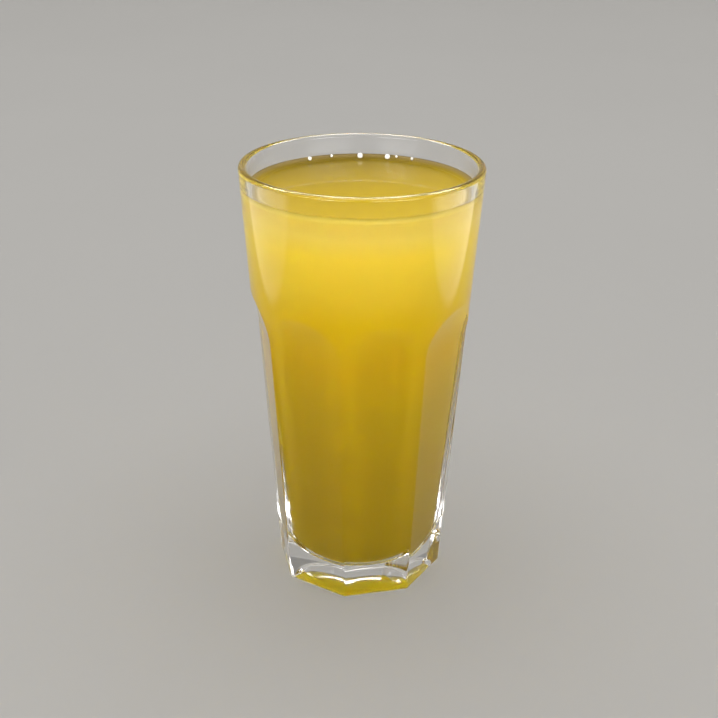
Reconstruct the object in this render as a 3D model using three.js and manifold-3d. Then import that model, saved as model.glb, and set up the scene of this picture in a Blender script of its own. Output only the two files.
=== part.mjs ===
// A glass of lemonade: a tall pressed-glass tumbler filled nearly to its lip.
// The tumbler is round at the top and has eight flat panels below, each with an arched head.
// Millimetres, +Z up. The origin is the middle of the foot, and panels face +X, -X, +Y and -Y.

import * as THREE from "three";
import { mergeVertices } from "three/addons/utils/BufferGeometryUtils.js";
import Module from "manifold-3d";

const wasm = await Module();
wasm.setup();

// The round outside is one straight cone from the foot up to the lip.
const HEIGHT = 155.5;
const RIM_RADIUS = 42;
const FOOT_RADIUS = 31.5;
const FOOT_EDGE = 0.45; // rounding where the panels meet the table

// The inside is round all the way down, so the wall grows thicker towards the foot.
const LIP_WALL = 2.7; // the lip is rounded across this thickness
const FLOOR_THICKNESS = 8;
const FLOOR_RADIUS = 22.3; // of the inner wall, carried down to the floor
const FLOOR_CORNER = 10; // rounding between the floor and the inner wall

// Flat panels take the cone away almost to their shared corners, then sweep out to an arch.
const PANELS = 8;
const CORNER_INSET = 0.25; // from the cone in to the corners between panels
const SWEEP_START = 95; // height where a panel leaves its flat
const SWEEP_RADIUS = 42;
const SWEEP_ANGLE = THREE.MathUtils.degToRad(34); // turned before it is clear of the cone

// The lemonade is a solid that fills the inside up to its level.
const DRINK_LEVEL = 146.5;
const DRINK_GAP = 0.3; // between the drink and the glass

const ROUND_STEPS = 80; // round the axis, a multiple of PANELS
const ARC_STEPS = 4; // half the steps along each rounded part of a profile
const CLEARANCE = 10; // how far a panel cutter stands proud of the glass
const SEAM = 1e-4; // points closer than this are one point

const LIP_Z = HEIGHT - LIP_WALL / 2;
const OUTER_SLOPE = (RIM_RADIUS - FOOT_RADIUS) / LIP_Z;
const INNER_SLOPE = (RIM_RADIUS - LIP_WALL - FLOOR_RADIUS) / (LIP_Z - FLOOR_THICKNESS);
const INNER_ANGLE = Math.atan(INNER_SLOPE);

// Radius of the inner wall at a height, moved in by an inset measured square to the wall.
function innerRadius(z, inset) {
  const wall = FLOOR_RADIUS + INNER_SLOPE * (z - FLOOR_THICKNESS);
  return wall - inset / Math.cos(INNER_ANGLE);
}

// Distance from the axis to the flat of a panel at a height.
function panelDistance(z) {
  const corner = FOOT_RADIUS + OUTER_SLOPE * z - CORNER_INSET;
  return corner * Math.cos(Math.PI / PANELS);
}

// Draws the inside from the middle of its floor out to the start of the wall.
function drawFloor(path, inset) {
  const centreZ = FLOOR_THICKNESS + FLOOR_CORNER;
  const centreR = innerRadius(centreZ, FLOOR_CORNER);
  path.moveTo(0, FLOOR_THICKNESS + inset);
  path.lineTo(centreR, FLOOR_THICKNESS + inset);
  path.absarc(centreR, centreZ, FLOOR_CORNER - inset, -Math.PI / 2, -INNER_ANGLE, false);
}

// Turns a profile of radius and height about the Z axis.
function turned(points) {
  const geometry = new THREE.LatheGeometry(points, ROUND_STEPS);
  return geometry.rotateX(Math.PI / 2);
}

// The glass before its panels: up the outside, over the lip and down the inside.
function roundBlank() {
  const inside = new THREE.Path();
  drawFloor(inside, 0);
  const profile = new THREE.Path();
  profile.moveTo(0, 0);
  profile.lineTo(FOOT_RADIUS, 0);
  profile.lineTo(RIM_RADIUS, LIP_Z);
  profile.absarc(RIM_RADIUS - LIP_WALL / 2, LIP_Z, LIP_WALL / 2, 0, Math.PI, false);
  const down = inside.getPoints(ARC_STEPS).reverse();
  return turned([...profile.getPoints(ARC_STEPS), ...down]);
}

// What is taken off outside one panel, which faces +X before it is turned into place.
function panelCutter(turn) {
  const lean = Math.atan(OUTER_SLOPE * Math.cos(Math.PI / PANELS));
  const startX = panelDistance(SWEEP_START);
  const centreX = startX + SWEEP_RADIUS * Math.cos(lean);
  const centreZ = SWEEP_START - SWEEP_RADIUS * Math.sin(lean);
  const sweepFrom = Math.PI - lean;
  const outX = RIM_RADIUS + CLEARANCE;

  const outline = new THREE.Shape();
  outline.moveTo(outX, -CLEARANCE);
  outline.lineTo(panelDistance(0) - FOOT_EDGE, -CLEARANCE);
  outline.lineTo(panelDistance(0) - FOOT_EDGE, 0);
  outline.absarc(panelDistance(0) - FOOT_EDGE, FOOT_EDGE, FOOT_EDGE, -Math.PI / 2, -lean, false);
  outline.lineTo(startX, SWEEP_START);
  outline.absarc(centreX, centreZ, SWEEP_RADIUS, sweepFrom, sweepFrom - SWEEP_ANGLE, true);
  outline.lineTo(outX, HEIGHT - CLEARANCE);
  outline.closePath();

  const width = 2 * outX;
  const geometry = new THREE.ExtrudeGeometry(outline, {
    depth: width,
    bevelEnabled: false,
    curveSegments: ARC_STEPS,
  });
  geometry.translate(0, 0, -width / 2);
  return geometry.rotateX(Math.PI / 2).rotateZ(turn);
}

// A closed geometry as a solid that can be cut.
function toSolid(geometry) {
  geometry.deleteAttribute("normal");
  geometry.deleteAttribute("uv");
  const joined = mergeVertices(geometry, SEAM);
  return new wasm.Manifold(
    new wasm.Mesh({
      numProp: 3,
      vertProperties: joined.attributes.position.array,
      triVerts: new Uint32Array(joined.index.array),
    }),
  );
}

// A cut solid as a geometry again.
function toGeometry(solid) {
  const mesh = solid.getMesh();
  const geometry = new THREE.BufferGeometry();
  geometry.setAttribute("position", new THREE.BufferAttribute(mesh.vertProperties, 3));
  geometry.setIndex(new THREE.BufferAttribute(mesh.triVerts, 1));
  geometry.computeVertexNormals();
  return geometry;
}

function tumblerGeometry() {
  let solid = toSolid(roundBlank());
  for (let panel = 0; panel < PANELS; panel += 1) {
    const turn = (panel * 2 * Math.PI) / PANELS;
    solid = solid.subtract(toSolid(panelCutter(turn)));
  }
  return toGeometry(solid);
}

function lemonadeGeometry() {
  const profile = new THREE.Path();
  drawFloor(profile, DRINK_GAP);
  profile.lineTo(innerRadius(DRINK_LEVEL, DRINK_GAP), DRINK_LEVEL);
  profile.lineTo(0, DRINK_LEVEL);
  return turned(profile.getPoints(ARC_STEPS));
}

const glass = new THREE.MeshStandardMaterial({
  color: 0xe8eef0,
  roughness: 0.05,
  transparent: true,
  opacity: 0.35,
});
const lemonade = new THREE.MeshStandardMaterial({ color: 0xd8ac1e, roughness: 0.3 });

const tumblerMesh = new THREE.Mesh(tumblerGeometry(), glass);
tumblerMesh.name = "tumbler";
const lemonadeMesh = new THREE.Mesh(lemonadeGeometry(), lemonade);
lemonadeMesh.name = "lemonade";

const part = new THREE.Group();
part.add(tumblerMesh, lemonadeMesh);

export default part;
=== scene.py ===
# A glass of lemonade in a plain studio: a pressed-glass tumbler, the drink in it and a few bubbles.

import math

import bmesh
import bpy
import numpy as np
from mathutils import Matrix, Vector


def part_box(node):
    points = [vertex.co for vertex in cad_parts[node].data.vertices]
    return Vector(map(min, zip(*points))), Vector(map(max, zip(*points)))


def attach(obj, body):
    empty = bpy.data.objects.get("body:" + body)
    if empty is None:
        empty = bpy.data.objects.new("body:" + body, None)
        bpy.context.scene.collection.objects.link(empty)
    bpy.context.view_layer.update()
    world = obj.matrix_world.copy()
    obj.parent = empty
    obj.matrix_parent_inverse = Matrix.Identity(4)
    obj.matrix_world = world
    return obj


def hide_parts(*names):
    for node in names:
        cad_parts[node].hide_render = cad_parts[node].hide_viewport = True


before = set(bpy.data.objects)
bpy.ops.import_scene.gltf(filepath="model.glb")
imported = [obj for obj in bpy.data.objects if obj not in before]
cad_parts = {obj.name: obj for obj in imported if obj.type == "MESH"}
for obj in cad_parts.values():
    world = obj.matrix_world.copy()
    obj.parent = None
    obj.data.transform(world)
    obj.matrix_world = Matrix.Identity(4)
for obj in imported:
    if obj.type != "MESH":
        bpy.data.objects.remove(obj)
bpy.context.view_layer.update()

MM = 0.001

# The tumbler, in millimetres. Its outer size and the drink's level come from the frame.
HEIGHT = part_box("tumbler")[1].z / MM
RIM_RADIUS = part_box("tumbler")[1].x / MM
FOOT_RADIUS = 31.5
FOOT_EDGE = 0.25  # rounding of the edge that meets the table
FOOT_RECESS = 2.2  # height of the hollow under the foot
FOOT_RING = 0.985  # share of the foot's radius where that hollow ends in the standing ring
FOOT_SIDES = 4  # how late the hollow goes from round to eight-sided, as a power
LIP_WALL = 2.7  # the lip is rounded across this thickness
FLOOR_THICKNESS = 8.0
FLOOR_RADIUS = 22.3  # of the inner wall, carried down to the floor
FLOOR_CORNER = 10.0  # rounding between the floor and the inner wall
PANELS = 8
CORNER_INSET = 0.25  # from the cone in to the corners between panels
SWEEP_START = 95.0  # height where a panel leaves its flat
SWEEP_RADIUS = 42.0
CORNER_SOFTNESS = 0.45  # how far the edges between panels are blended
CROWN_SOFTNESS = 0.3  # the same where a panel's arch meets the round part

# The drink, in millimetres.
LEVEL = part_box("lemonade")[1].z / MM
MENISCUS_RISE = 1.9  # of the drink's edge where it climbs the glass
MENISCUS_REACH = 1.9  # distance over which that rise dies away
WALL_OVERLAP = 0.12  # how far the drink reaches into the glass, so that no air shows

# Bubbles at the drink's edge: where each lies round the glass, in degrees, and its diameter.
BUBBLES = ((107.7, 1.5), (94.4, 1.1), (78.3, 2.1), (62.7, 2.0), (57.7, 0.9), (48.3, 1.1))
BUBBLE_LIFT = 0.15  # how far a bubble's middle stands over the drink, as a share of its diameter
BUBBLE_STEPS = 20

LIP_Z = HEIGHT - LIP_WALL / 2
OUTER_SLOPE = (RIM_RADIUS - FOOT_RADIUS) / LIP_Z
INNER_SLOPE = (RIM_RADIUS - LIP_WALL - FLOOR_RADIUS) / (LIP_Z - FLOOR_THICKNESS)
INNER_ANGLE = math.atan(INNER_SLOPE)

# How finely the tumbler and the drink are divided. A stretch's rows include both of its ends.
PANEL_STEPS = 40  # across each panel
HOLLOW_ROWS = 24
HOLLOW_START = 0.06  # share of the hollow's radius where its first row lies
FOOT_EDGE_ROWS = 9
FLAT_ROWS = 14
FLAT_MARGIN = 2.0  # from the last row of a flat up to the sweep, in millimetres
SHOULDER_BELOW = 1.6  # the shoulder's rows start this far below the sweep
SHOULDER_ABOVE = 18.0  # and end this far above its start
SHOULDER_STEP = 0.28
CONE_ROWS = 14
LIP_ROWS = 25
INNER_WALL_ROWS = 40
FLOOR_CORNER_ROWS = 17
FLOOR_SHARES = (0.2, 0.4, 0.6, 0.8)  # of the flat floor's radius, one row at each
DRINK_WALL_ROWS = 60
DRINK_EDGE_ROWS = 25
DRINK_EDGE_WIDTH = 6.0  # in from the glass, where the surface's rows lie close together
DRINK_MIDDLE_ROWS = 12

# The photograph's camera, in millimetres and degrees, fitted to the rim, the foot and the sides.
IMAGE_SIDE = 718
CAMERA_AZIMUTH = -12.9
CAMERA_DISTANCE = 394.3  # level, from the axis of the glass
CAMERA_HEIGHT = 262.5
CAMERA_PITCH = 24.55
CAMERA_ROLL = 0.5
CAMERA_YAW = 0.07
FOCAL_PIXELS = 1191.6
SENSOR_WIDTH = 36.0
CLIP_NEAR = 0.01  # in metres, as is the next
CLIP_FAR = 100

# The floor of the studio, in metres: flat in the middle, then sweeping up to a low wall all round.
STAGE_FLAT = 1.6
STAGE_SWEEP = 1.2
STAGE_WALL = 0.8
STAGE_DROP = 0.0001  # air under the standing ring
STAGE_STEPS = 96  # round the axis
STAGE_SWEEP_ROWS = 25

# The lights: name, azimuth to the right of the camera's and elevation, both in degrees, distance and
# size in metres, power in watts, and how far off its middle a light starts to fade.
CEILING_LIGHT = ("ceiling_light", 0, 90, 3.2, (5.0, 5.0), 88, 0.42)
# These light only the drink and its glass, so that the floor stays even. The cards show in the glass.
PRODUCT_LIGHTS = (
    ("front_left_light", -36, 16, 2.2, (2.6, 1.05), 106, 0.15),
    ("front_right_light", 34, 16, 2.2, (2.6, 1.05), 106, 0.15),
    ("back_light", 180, 52, 2.2, (1.4, 1.0), 84, 0.15),
    ("back_left_light", -124, 50, 2.2, (1.4, 1.0), 72, 0.15),
    ("back_right_light", 124, 50, 2.2, (1.4, 1.0), 72, 0.15),
    ("left_card", -95, 0, 0.235, (0.30, 0.146), 0.11, 0.42),
    ("right_card", 93, 0, 0.235, (0.32, 0.146), 0.17, 0.42),
)
# On a light's own scale, from 0 to 1 across: its middle, and how far off that its rim is.
LIGHT_MIDDLE = (0.5, 0.5, 0)
LIGHT_RIM = 0.5
WORLD_COLOUR = (1, 0.98, 0.95, 1)
WORLD_STRENGTH = 0.25
LIGHT_BOUNCES = 24  # in all, and through glass
GLOSSY_BOUNCES = 12

# How the glass and the drink bend light, and the finish of the glass.
GLASS_IOR = 1.52
DRINK_IOR = 1.34
GLASS_REFLECTION = 0.4  # of what clear glass reflects square-on, so that the floor greys the drink less
RIPPLE_SCALE = 30  # waves to a metre
RIPPLE_DETAIL = 1
RIPPLE_HEIGHT = 0.0001  # in metres
RIPPLE_STRENGTH = 0.04
POLISHED_DEPTH = 3 * LIP_WALL  # from the rim down, in millimetres, where no ripple shows

# Linear colours of the drink by height in millimetres, from its underside to its edge on the glass. They
# hold painted light and shade:
# the underside painted bright where it shows through the foot, the side painted darker towards the
# bottom and lighter towards the top, and darker again where the edge climbs the glass, as painted shade.
DRINK_PAINTED_LIGHT_COLOURS = (
    (FLOOR_THICKNESS, (0.90, 0.700, 0.010)),
    (FLOOR_THICKNESS + 2.5, (0.80, 0.620, 0.010)),
    (FLOOR_THICKNESS + 4, (0.305, 0.202, 0.000)),
    (50, (0.405, 0.265, 0.000)),
    (75, (0.488, 0.328, 0.000)),
    (95, (0.618, 0.400, 0.000)),
    (110, (0.695, 0.475, 0.000)),
    (134, (0.89, 0.675, 0.052)),
    (LEVEL - 6, (0.825, 0.655, 0.108)),
    (LEVEL - 2, (0.71, 0.560, 0.092)),
    (LEVEL + 0.7 * MENISCUS_RISE, (0.63, 0.476, 0.072)),
    (LEVEL + MENISCUS_RISE, (0.54, 0.385, 0.030)),
)
CLOUD_COLOUR = (0.90, 0.895, 0.87)  # what the thicker clouds in the drink leave of that colour
CLOUD_SCALE = 45
CLOUD_DETAIL = 4
SCATTER_DEPTH = 0.006  # how far light goes into the drink, in metres
SCATTER_SHARES = (1.0, 0.95, 0.3)  # of that depth, for red, green and blue light
# Linear colours of the drink's surface by share of the way from the back wall to the front wall, darker
# at the back as painted shade.
SURFACE_PAINTED_SHADE_COLOURS = (
    (0.0, (0.11, 0.073, 0.002)),
    (0.35, (0.208, 0.139, 0.002)),
    (1.0, (0.325, 0.222, 0.002)),
)
# The edge is paler than the drink where it thins up the glass, and darker there as painted shade.
EDGE_COLOUR = (0.16, 0.117, 0.045)  # where the surface thins out up the glass
# What the flat surface has of these, and what it has where it climbs the glass.
SURFACE_FINISH = (("Roughness", 0.03, 0.4), ("Specular IOR Level", 0.16, 0.0))

# Shares of the edge's climb above the level, between which the drink's looks change.
CLEAR_TO_CLOUDY = (0.5, -1.0)
SURFACE_TO_EDGE_COLOUR = (0.2, 0.8)
GLOSSY_TO_DULL = (0.0, 0.35)

# Two linear colours each, and the scale and detail of the uneven pattern that mixes them.
# The bubbles' near-white colours are a painted glint, so that each bubble shows as a bright speck.
BUBBLE_GLINT_COLOURS = ((1.0, 0.98, 0.92), (0.94, 0.91, 0.80))
BUBBLE_PATTERN = (900, 2)
STAGE_COLOURS = ((0.61, 0.60, 0.58), (0.58, 0.57, 0.55))
STAGE_PATTERN = (3, 6)


def panel_angles():
    """Angles round the axis, closest together at the corners between panels."""
    across = np.sin(np.linspace(-1, 1, PANEL_STEPS, endpoint=False) * math.pi / 2)
    half = math.pi / PANELS
    return np.concatenate([2 * half * k + half * across for k in range(PANELS)])


ANGLES = panel_angles()


def smooth_min(a, b, softness):
    """The lower of two surfaces, with the edge where they cross rounded off."""
    near = np.maximum(softness - np.abs(a - b), 0) / softness
    return np.minimum(a, b) - near * near * softness / 4


def inner_radius(z, inset=0.0):
    """Radius of the inner wall at height z, moved in by an inset measured square to the wall."""
    wall = FLOOR_RADIUS + INNER_SLOPE * (z - FLOOR_THICKNESS)
    return wall - inset / math.cos(INNER_ANGLE)


def foot_rounding(z):
    """How far the rounded lower edge draws in at height z."""
    below = np.clip(FOOT_EDGE - z, 0, FOOT_EDGE)
    return FOOT_EDGE - np.sqrt(FOOT_EDGE**2 - below**2)


def panel_distance(z):
    """Distance from the axis to the face of a panel: flat, then sweeping out to the arch."""
    apothem = math.cos(math.pi / PANELS)
    flat = (FOOT_RADIUS + OUTER_SLOPE * z - CORNER_INSET) * apothem
    lean = math.atan(OUTER_SLOPE * apothem)
    start = (FOOT_RADIUS + OUTER_SLOPE * SWEEP_START - CORNER_INSET) * apothem
    centre_x = start + SWEEP_RADIUS * math.cos(lean)
    centre_z = SWEEP_START - SWEEP_RADIUS * math.sin(lean)
    up = np.clip(z - centre_z, 0, SWEEP_RADIUS)
    sweep = centre_x - np.sqrt(SWEEP_RADIUS**2 - up**2)
    return np.where(z < SWEEP_START, flat, sweep) - foot_rounding(z)


def outer_radius(z):
    """Radius of the outside at height z for each of ANGLES."""
    off = np.mod(ANGLES + math.pi / PANELS, 2 * math.pi / PANELS) - math.pi / PANELS
    neighbour = 2 * math.pi / PANELS - np.abs(off)
    face = panel_distance(z)
    panels = smooth_min(face / np.cos(off), face / np.cos(neighbour), CORNER_SOFTNESS)
    cone = FOOT_RADIUS + OUTER_SLOPE * z - foot_rounding(z)
    return smooth_min(panels, cone, CROWN_SOFTNESS)


def ring(radius, z):
    """One row of a turned skin: a radius and a height for each of ANGLES."""
    return np.broadcast_to(radius, ANGLES.shape), np.full(ANGLES.shape, z)


def turned_mesh(name, rows, bottom, top):
    """A closed smooth skin through rows of radius and height, with a point on the axis at each end."""
    radius = np.array([row[0] for row in rows])
    height = np.array([row[1] for row in rows])
    points = np.stack([radius * np.cos(ANGLES), radius * np.sin(ANGLES), height], axis=-1)
    count = len(ANGLES)
    ends = np.array([[0, 0, bottom], [0, 0, top]])
    vertices = np.concatenate([points.reshape(-1, 3), ends]) * MM

    column = np.arange(count)
    after = np.roll(column, -1)
    first = np.arange(len(rows) - 1)[:, None] * count
    quads = np.stack(
        [first + column, first + after, first + count + after, first + count + column], axis=-1
    ).reshape(-1, 4)
    last = (len(rows) - 1) * count
    low_pole = len(rows) * count
    high_pole = low_pole + 1
    faces = quads.tolist()
    faces += [(low_pole, b, a) for a, b in zip(column.tolist(), after.tolist())]
    faces += [(last + a, last + b, high_pole) for a, b in zip(column.tolist(), after.tolist())]

    mesh = bpy.data.meshes.new(name)
    mesh.from_pydata(vertices.tolist(), [], faces)
    mesh.shade_smooth()
    piece = bpy.data.objects.new(name, mesh)
    bpy.context.collection.objects.link(piece)
    return piece


def floor_corner(inset):
    """Radii and heights round the corner of the inside, from the wall down to the floor."""
    centre_z = FLOOR_THICKNESS + FLOOR_CORNER
    centre_r = inner_radius(centre_z, FLOOR_CORNER)
    turn = np.linspace(-INNER_ANGLE, -math.pi / 2, FLOOR_CORNER_ROWS)
    reach = FLOOR_CORNER - inset
    return list(zip(centre_r + reach * np.cos(turn), centre_z + reach * np.sin(turn)))


def underside_rows():
    """A shallow hollow from near the axis out to the standing ring, eight-sided like the foot there."""
    foot = outer_radius(0.0)
    edge = FOOT_RING * foot
    inscribed = edge.min()
    rows = []
    for share in np.linspace(HOLLOW_START, 1, HOLLOW_ROWS):
        radius = inscribed * share + (edge - inscribed) * share**FOOT_SIDES
        rows.append(ring(radius, FOOT_RECESS * (1 - share**2)))
    rows.append(ring((edge + foot) / 2, 0.0))
    return rows


def outside_rows():
    """Up the outside: the foot's rounded edge, the flats, the arches' shoulder and the round cone."""
    edge = FOOT_EDGE * (1 - np.cos(np.linspace(0, math.pi / 2, FOOT_EDGE_ROWS)))
    flats = np.linspace(FOOT_EDGE, SWEEP_START - FLAT_MARGIN, FLAT_ROWS)[1:]
    shoulder = np.arange(SWEEP_START - SHOULDER_BELOW, SWEEP_START + SHOULDER_ABOVE, SHOULDER_STEP)
    cone = np.linspace(shoulder[-1], LIP_Z, CONE_ROWS)[1:]
    heights = np.concatenate([edge, flats, shoulder, cone])
    return [ring(outer_radius(z), z) for z in heights]


def lip_and_inside_rows():
    """Over the rounded lip, down the inner wall, round its corner and in across the floor."""
    lip_radius = LIP_WALL / 2
    middle = RIM_RADIUS - lip_radius
    rows = []
    for turn in np.linspace(0, math.pi, LIP_ROWS)[1:]:
        rows.append(ring(middle + lip_radius * math.cos(turn), LIP_Z + lip_radius * math.sin(turn)))
    corner = floor_corner(0.0)
    for z in np.linspace(LIP_Z, corner[0][1], INNER_WALL_ROWS)[1:-1]:
        rows.append(ring(inner_radius(z), z))
    rows += [ring(radius, z) for radius, z in corner]
    rows += [ring(corner[-1][0] * share, FLOOR_THICKNESS) for share in reversed(FLOOR_SHARES)]
    return rows


def make_tumbler():
    """The glass, one closed skin round its outside and its inside."""
    rows = underside_rows() + outside_rows() + lip_and_inside_rows()
    piece = turned_mesh("tumbler_glass", rows, FOOT_RECESS, FLOOR_THICKNESS)
    piece.data.materials.append(glass_material())
    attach(piece, "root")
    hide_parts("tumbler")
    return piece


def surface_height(radius, wall):
    """Height of the drink's surface, which climbs where it meets the wall."""
    return LEVEL + MENISCUS_RISE * np.exp((radius - wall) / MENISCUS_REACH)


def drink_rows():
    """Out across the drink's underside, up its side to its edge on the glass and in over its surface."""
    corner = floor_corner(-WALL_OVERLAP)[::-1]
    rows = [ring(corner[0][0] * share, corner[0][1]) for share in FLOOR_SHARES]
    rows += [ring(radius, z) for radius, z in corner]
    contact = LEVEL + MENISCUS_RISE
    for z in np.linspace(corner[-1][1], contact, DRINK_WALL_ROWS)[1:]:
        rows.append(ring(inner_radius(z, -WALL_OVERLAP), z))
    wall = inner_radius(contact, -WALL_OVERLAP)
    edge = np.linspace(0, DRINK_EDGE_WIDTH, DRINK_EDGE_ROWS)[1:]
    middle = np.linspace(DRINK_EDGE_WIDTH, wall, DRINK_MIDDLE_ROWS)[1:-1]
    for inwards in np.concatenate([edge, middle]):
        rows.append(ring(wall - inwards, surface_height(wall - inwards, wall)))
    return rows


def make_drink():
    """The lemonade, whose free surface has a material of its own."""
    rows = drink_rows()
    underside = rows[0][1][0]
    piece = turned_mesh("lemonade_drink", rows, underside, LEVEL)
    piece.data.materials.append(drink_material())
    piece.data.materials.append(drink_surface_material())
    is_surface = [face.normal.z > 0 for face in piece.data.polygons]
    piece.data.polygons.foreach_set("material_index", np.array(is_surface, dtype=np.int32))
    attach(piece, "root")
    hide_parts("lemonade")
    return piece


def make_bubbles():
    """Small bubbles against the glass at the edge of the drink, joined in one piece."""
    shape = bmesh.new()
    for azimuth, diameter in BUBBLES:
        turn = math.radians(azimuth)
        reach = inner_radius(LEVEL) - diameter / 2
        middle = Vector((
            reach * math.cos(turn),
            reach * math.sin(turn),
            surface_height(reach, inner_radius(LEVEL)) + BUBBLE_LIFT * diameter,
        ))
        bmesh.ops.create_uvsphere(
            shape,
            u_segments=BUBBLE_STEPS,
            v_segments=BUBBLE_STEPS // 2,
            radius=diameter / 2 * MM,
            matrix=Matrix.Translation(middle * MM),
        )
    mesh = bpy.data.meshes.new("bubbles")
    shape.to_mesh(mesh)
    shape.free()
    mesh.shade_smooth()
    mesh.materials.append(bubble_material())
    piece = bpy.data.objects.new("bubbles", mesh)
    bpy.context.collection.objects.link(piece)
    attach(piece, "root")
    return piece


def new_material(name):
    """A node material, its node tree and its Principled shader."""
    material = bpy.data.materials.new(name)
    material.use_nodes = True
    return material, material.node_tree, material.node_tree.nodes["Principled BSDF"]


def set_inputs(node, values):
    """Sets plain values on a node's sockets, by the sockets' names."""
    for name, value in values.items():
        node.inputs[name].default_value = value


def object_axis(tree, axis):
    """Socket with a point's place along one axis of the object, in metres."""
    place = tree.nodes.new("ShaderNodeTexCoord")
    split = tree.nodes.new("ShaderNodeSeparateXYZ")
    tree.links.new(place.outputs["Object"], split.inputs["Vector"])
    return split.outputs[axis]


def noise(tree, scale, detail):
    """Socket with an uneven pattern from 0 to 1, fixed to the object."""
    place = tree.nodes.new("ShaderNodeTexCoord")
    pattern = tree.nodes.new("ShaderNodeTexNoise")
    set_inputs(pattern, {"Scale": scale, "Detail": detail})
    tree.links.new(place.outputs["Object"], pattern.inputs["Vector"])
    return pattern.outputs["Fac"]


def spread(tree, value, start, end, low=0.0, high=1.0, interpolation="LINEAR"):
    """Socket that goes from low to high as the value in another goes from start to end."""
    node = tree.nodes.new("ShaderNodeMapRange")
    node.interpolation_type = interpolation
    set_inputs(node, {"From Min": start, "From Max": end, "To Min": low, "To Max": high})
    tree.links.new(value, node.inputs["Value"])
    return node.outputs["Result"]


def colour_ramp(tree, share, stops):
    """Socket with a colour that runs through stops, each a place from 0 to 1 and a colour."""
    ramp = tree.nodes.new("ShaderNodeValToRGB")
    elements = ramp.color_ramp.elements
    for place, _ in stops[2:]:
        elements.new(place)
    for element, (place, colour) in zip(elements, stops):
        element.position = place
        element.color = (*colour, 1)
    tree.links.new(share, ramp.inputs["Fac"])
    return ramp.outputs["Color"]


def mix_colours(tree, factor, first, second, blend="MIX"):
    """Socket with a mix of two colours, of which the first may be a socket."""
    mix = tree.nodes.new("ShaderNodeMix")
    mix.data_type = "RGBA"
    mix.blend_type = blend
    tree.links.new(factor, mix.inputs["Factor"])
    if isinstance(first, tuple):
        mix.inputs["A"].default_value = (*first, 1)
    else:
        tree.links.new(first, mix.inputs["A"])
    mix.inputs["B"].default_value = (*second, 1)
    return mix.outputs["Result"]


def glass_material():
    """Clear glass, a little rippled where it was pressed and smooth round its fire-polished lip."""
    material, tree, shader = new_material("clear_glass")
    set_inputs(shader, {
        "Base Color": (1, 1, 1, 1),
        "Roughness": 0.0,
        "IOR": GLASS_IOR,
        "Transmission Weight": 1.0,
        "Specular Tint": (GLASS_REFLECTION, GLASS_REFLECTION, GLASS_REFLECTION, 1),
    })
    polished = (HEIGHT - POLISHED_DEPTH) * MM
    strength = spread(tree, object_axis(tree, "Z"), polished, SWEEP_START * MM, 0.0, RIPPLE_STRENGTH)
    bump = tree.nodes.new("ShaderNodeBump")
    bump.inputs["Distance"].default_value = RIPPLE_HEIGHT
    tree.links.new(strength, bump.inputs["Strength"])
    tree.links.new(noise(tree, RIPPLE_SCALE, RIPPLE_DETAIL), bump.inputs["Height"])
    tree.links.new(bump.outputs["Normal"], shader.inputs["Normal"])
    return material


def add_clouds(tree, colour):
    """Deepens a colour unevenly, as pulp does. Returns the socket that holds the result."""
    return mix_colours(tree, noise(tree, CLOUD_SCALE, CLOUD_DETAIL), colour, CLOUD_COLOUR, "MULTIPLY")


def along_climb(tree, shares, *levels, interpolation="LINEAR"):
    """Socket that changes between two shares of the climb of the drink's edge."""
    start, end = ((LEVEL + share * MENISCUS_RISE) * MM for share in shares)
    return spread(tree, object_axis(tree, "Z"), start, end, *levels, interpolation=interpolation)


def make_cloudy(tree, shader):
    """Lets light into the drink, except in the thin edge that climbs the glass."""
    tree.links.new(along_climb(tree, CLEAR_TO_CLOUDY), shader.inputs["Subsurface Weight"])
    set_inputs(shader, {"Subsurface Radius": SCATTER_SHARES, "Subsurface Scale": SCATTER_DEPTH})


def drink_material():
    """The drink against the glass, its colour by height painted with light and shade. Light that meets
    it at a low angle in the glass is turned back.
    """
    material, tree, shader = new_material("lemonade_body")
    lowest = DRINK_PAINTED_LIGHT_COLOURS[0][0]
    highest = DRINK_PAINTED_LIGHT_COLOURS[-1][0]
    stops = [((height - lowest) / (highest - lowest), colour) for height, colour in DRINK_PAINTED_LIGHT_COLOURS]
    share = spread(tree, object_axis(tree, "Z"), lowest * MM, highest * MM)
    colour = add_clouds(tree, colour_ramp(tree, share, stops))
    tree.links.new(colour, shader.inputs["Base Color"])
    make_cloudy(tree, shader)
    set_inputs(shader, {"Specular IOR Level": 0.0, "Roughness": 1.0})

    fresnel = tree.nodes.new("ShaderNodeFresnel")
    fresnel.inputs["IOR"].default_value = DRINK_IOR / GLASS_IOR
    mirror = tree.nodes.new("ShaderNodeBsdfGlossy")
    set_inputs(mirror, {"Roughness": 0.0, "Color": (1, 1, 1, 1)})
    mix = tree.nodes.new("ShaderNodeMixShader")
    tree.links.new(fresnel.outputs["Fac"], mix.inputs["Fac"])
    tree.links.new(shader.outputs["BSDF"], mix.inputs[1])
    tree.links.new(mirror.outputs["BSDF"], mix.inputs[2])
    tree.links.new(mix.outputs["Shader"], tree.nodes["Material Output"].inputs["Surface"])
    return material


def drink_surface_material():
    """The free surface of the drink, painted darker at the back as shade, with a dull thin edge up the
    glass.
    """
    material, tree, shader = new_material("lemonade_surface")
    wall = inner_radius(LEVEL) * MM
    forward = spread(tree, object_axis(tree, "Y"), wall, -wall)
    flat = add_clouds(tree, colour_ramp(tree, forward, SURFACE_PAINTED_SHADE_COLOURS))
    colour = mix_colours(tree, along_climb(tree, SURFACE_TO_EDGE_COLOUR), flat, EDGE_COLOUR)
    tree.links.new(colour, shader.inputs["Base Color"])
    make_cloudy(tree, shader)
    shader.inputs["IOR"].default_value = DRINK_IOR
    for name, level, raised in SURFACE_FINISH:
        finish = along_climb(tree, GLOSSY_TO_DULL, level, raised, interpolation="SMOOTHSTEP")
        tree.links.new(finish, shader.inputs[name])
    return material


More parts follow.
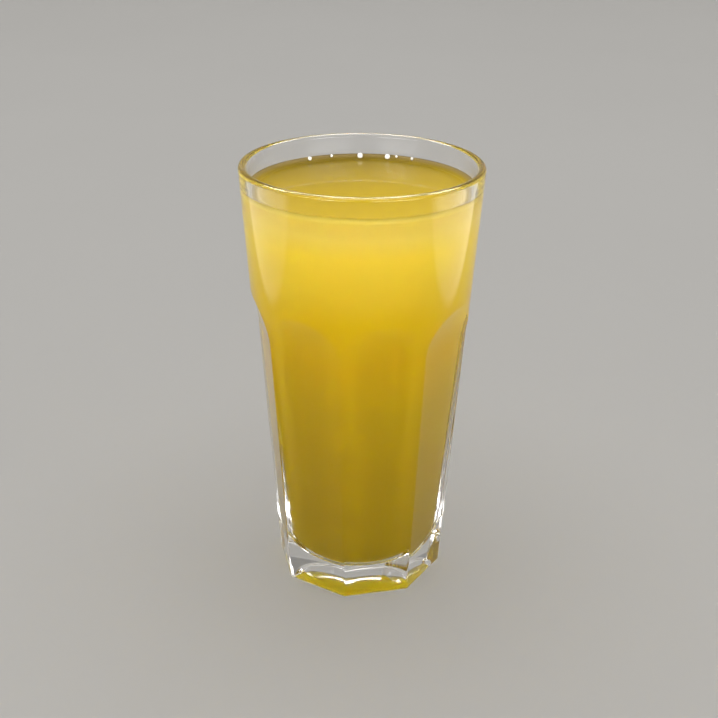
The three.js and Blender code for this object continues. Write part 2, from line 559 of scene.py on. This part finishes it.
def bubble_material():
    """A bubble's wet film, painted near white as a glint."""
    material, tree, shader = new_material("bubble_film_painted_glint")
    colour = mix_colours(tree, noise(tree, *BUBBLE_PATTERN), *BUBBLE_GLINT_COLOURS)
    tree.links.new(colour, shader.inputs["Base Color"])
    set_inputs(shader, {"Roughness": 0.05, "IOR": DRINK_IOR, "Transmission Weight": 0.25})
    return material


def floor_material():
    """A plain pale floor with a faint grain."""
    material, tree, shader = new_material("pale_floor")
    colour = mix_colours(tree, noise(tree, *STAGE_PATTERN), *STAGE_COLOURS)
    tree.links.new(colour, shader.inputs["Base Color"])
    shader.inputs["Roughness"].default_value = 0.7
    return material


def make_floor():
    """The floor, a disc that sweeps up to a low wall all round."""
    turns = np.linspace(0, math.pi / 2, STAGE_SWEEP_ROWS)
    radii = np.concatenate([[STAGE_FLAT / 2], STAGE_FLAT + STAGE_SWEEP * np.sin(turns)])
    heights = np.concatenate([[0], STAGE_SWEEP * (1 - np.cos(turns))])
    radii = np.append(radii, radii[-1])
    heights = np.append(heights, heights[-1] + STAGE_WALL) - STAGE_DROP
    around = np.linspace(0, 2 * math.pi, STAGE_STEPS, endpoint=False)
    x = radii[:, None] * np.cos(around)
    y = radii[:, None] * np.sin(around)
    z = np.broadcast_to(heights[:, None], x.shape)
    vertices = np.stack([x, y, z], axis=-1).reshape(-1, 3)

    faces = [tuple(range(STAGE_STEPS))]
    for row in range(len(radii) - 1):
        for step in range(STAGE_STEPS):
            a = row * STAGE_STEPS + step
            b = row * STAGE_STEPS + (step + 1) % STAGE_STEPS
            faces.append((a, a + STAGE_STEPS, b + STAGE_STEPS, b))
    mesh = bpy.data.meshes.new("floor")
    mesh.from_pydata(vertices.tolist(), [], faces)
    mesh.shade_smooth()
    mesh.materials.append(floor_material())
    floor = bpy.data.objects.new("floor", mesh)
    bpy.context.collection.objects.link(floor)


def make_camera():
    """The camera that took the photograph."""
    data = bpy.data.cameras.new("photo_camera")
    data.sensor_width = SENSOR_WIDTH
    data.lens = FOCAL_PIXELS / IMAGE_SIDE * SENSOR_WIDTH
    data.clip_start = CLIP_NEAR
    data.clip_end = CLIP_FAR
    camera = bpy.data.objects.new("photo_camera", data)
    azimuth = math.radians(CAMERA_AZIMUTH)
    place = Vector((
        CAMERA_DISTANCE * math.sin(azimuth),
        -CAMERA_DISTANCE * math.cos(azimuth),
        CAMERA_HEIGHT,
    ))
    turn = (
        Matrix.Rotation(azimuth + math.radians(CAMERA_YAW), 4, "Z")
        @ Matrix.Rotation(math.radians(90 - CAMERA_PITCH), 4, "X")
        @ Matrix.Rotation(math.radians(CAMERA_ROLL), 4, "Z")
    )
    camera.matrix_world = Matrix.Translation(place * MM) @ turn
    bpy.context.collection.objects.link(camera)
    bpy.context.scene.camera = camera


def make_light(name, azimuth, elevation, distance, size, power, fade_from, lit=None):
    """An oval light aimed at the glass. It lights the pieces in a collection, or everything."""
    turn = math.radians(CAMERA_AZIMUTH + azimuth)
    rise = math.radians(elevation)
    away = Vector((
        math.sin(turn) * math.cos(rise),
        -math.cos(turn) * math.cos(rise),
        math.sin(rise),
    ))
    data = bpy.data.lights.new(name, "AREA")
    data.shape = "ELLIPSE"
    data.size, data.size_y = size
    data.energy = power
    light = bpy.data.objects.new(name, data)
    light.location = away * distance + Vector((0, 0, HEIGHT / 2 * MM))
    light.rotation_euler = (-away).to_track_quat("-Z", "Y").to_euler()
    light.visible_camera = False
    light.light_linking.receiver_collection = lit
    soften_edge(data, fade_from)
    bpy.context.collection.objects.link(light)


def soften_edge(data, fade_from):
    """Fades a light out from a distance off its middle to its rim."""
    data.use_nodes = True
    tree = data.node_tree
    place = tree.nodes.new("ShaderNodeNewGeometry")
    off_centre = tree.nodes.new("ShaderNodeVectorMath")
    off_centre.operation = "DISTANCE"
    off_centre.inputs[1].default_value = LIGHT_MIDDLE
    tree.links.new(place.outputs["Parametric"], off_centre.inputs[0])
    fade = spread(tree, off_centre.outputs["Value"], LIGHT_RIM, fade_from, interpolation="SMOOTHSTEP")
    tree.links.new(fade, tree.nodes["Emission"].inputs["Strength"])


def make_studio(pieces):
    """Even light from all round, a ceiling light, and lights that reach only the product's pieces."""
    world = bpy.data.worlds.new("studio")
    world.use_nodes = True
    background = world.node_tree.nodes["Background"]
    set_inputs(background, {"Color": WORLD_COLOUR, "Strength": WORLD_STRENGTH})
    scene = bpy.context.scene
    scene.world = world
    scene.view_settings.view_transform = "Standard"
    scene.cycles.use_denoising = True
    scene.cycles.max_bounces = LIGHT_BOUNCES
    scene.cycles.transmission_bounces = LIGHT_BOUNCES
    scene.cycles.glossy_bounces = GLOSSY_BOUNCES

    make_light(*CEILING_LIGHT)
    product = bpy.data.collections.new("product")
    for piece in pieces:
        product.objects.link(piece)
    for light in PRODUCT_LIGHTS:
        make_light(*light, product)


make_camera()
make_floor()
make_studio([make_tumbler(), make_drink(), make_bubbles()])
